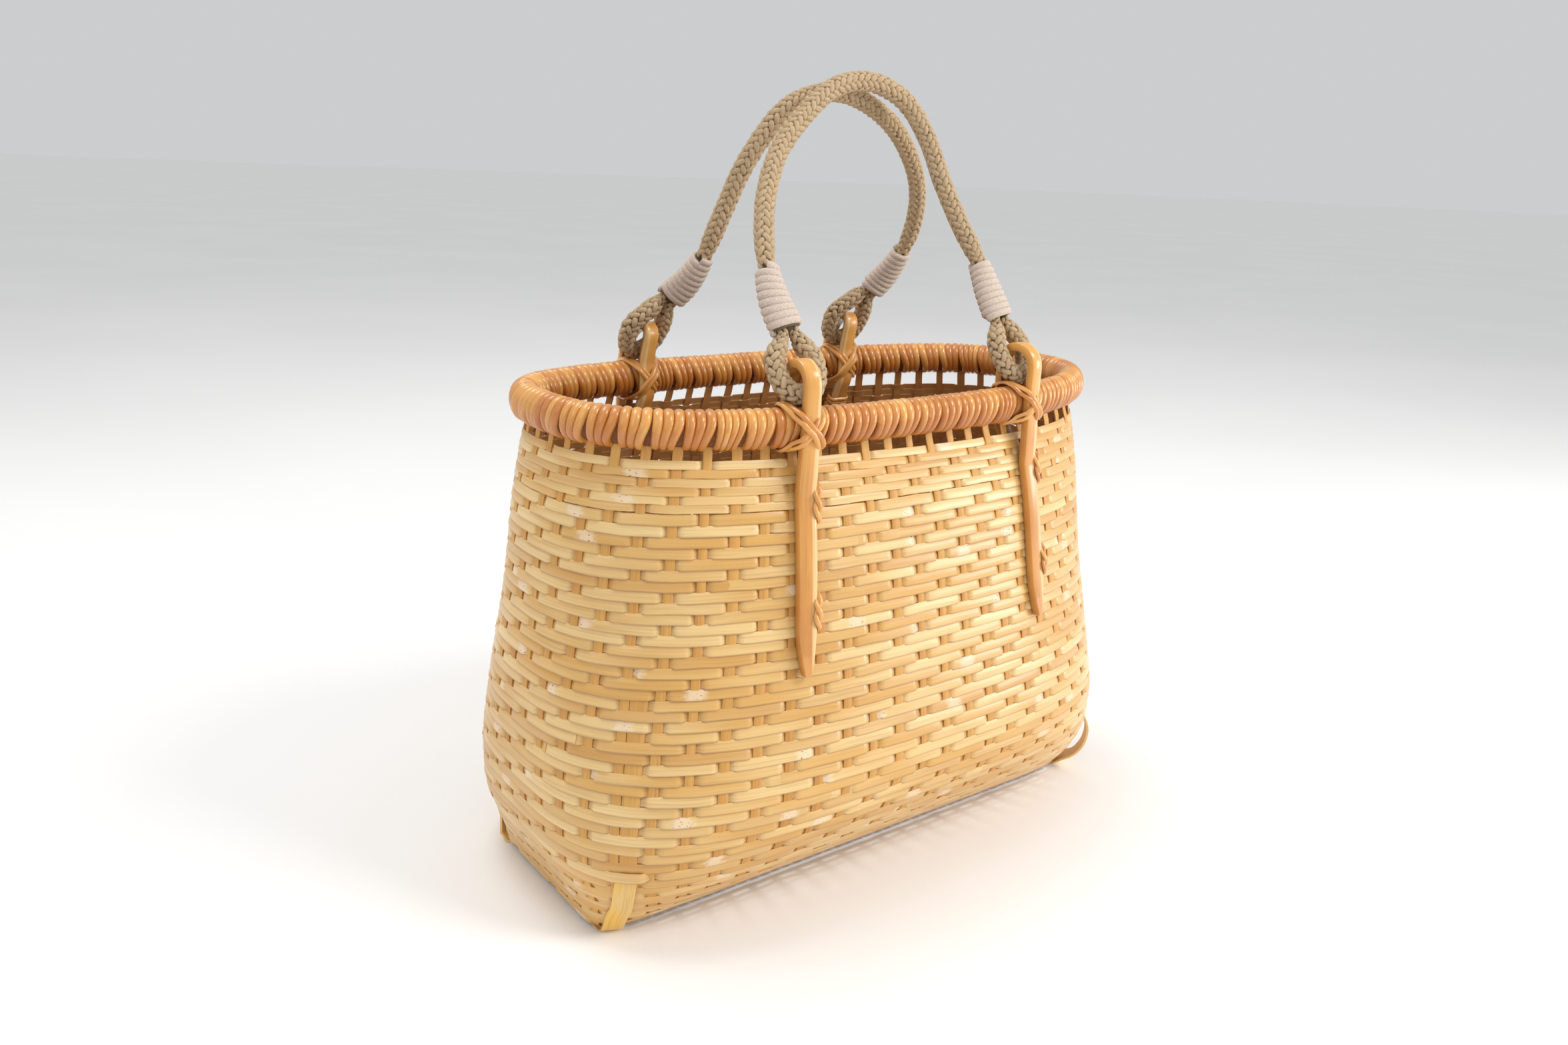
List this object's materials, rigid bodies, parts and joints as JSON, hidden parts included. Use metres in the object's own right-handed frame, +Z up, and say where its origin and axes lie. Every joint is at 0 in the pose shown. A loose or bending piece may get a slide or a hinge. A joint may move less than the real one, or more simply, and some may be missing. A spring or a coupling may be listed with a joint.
{
  "type": "woven bamboo basket bag",
  "caption": "Oval woven basket bag with a wrapped rim, bent cane hooks and rope handles; it carries and stores small goods.",
  "frame": {"origin": "middle of the base, on the surface that the basket stands on", "axes": "+X along the basket's long side, +Y towards its back, +Z up"},
  "size_m": [0.3378, 0.197, 0.3751],
  "materials": {
    "weave": "matte split bamboo",
    "strip": "satin split bamboo",
    "rim": "glossy lacquered cane",
    "hook": "glossy lacquered bamboo",
    "lashing": "satin split cane",
    "rope": "braided plant fibre",
    "cord": "twisted thread"
  },
  "bodies": {
    "root": {"basket_body": "weave", "base_strip_lower": "strip", "base_strip_upper": "strip", "rim": "rim", "hook_front_left": "hook", "hook_front_right": "hook", "hook_back_left": "hook", "hook_back_right": "hook", "rim_lashing_front_left": "lashing", "rim_lashing_front_right": "lashing", "rim_lashing_back_left": "lashing", "rim_lashing_back_right": "lashing", "inner_lashing_front_left": "lashing", "inner_lashing_front_right": "lashing", "inner_lashing_back_left": "lashing", "inner_lashing_back_right": "lashing", "handle_rope_front": "rope", "handle_rope_back": "rope", "whipping_front_left": "cord", "whipping_front_right": "cord", "whipping_back_left": "cord", "whipping_back_right": "cord"}
  },
  "joints": []
}
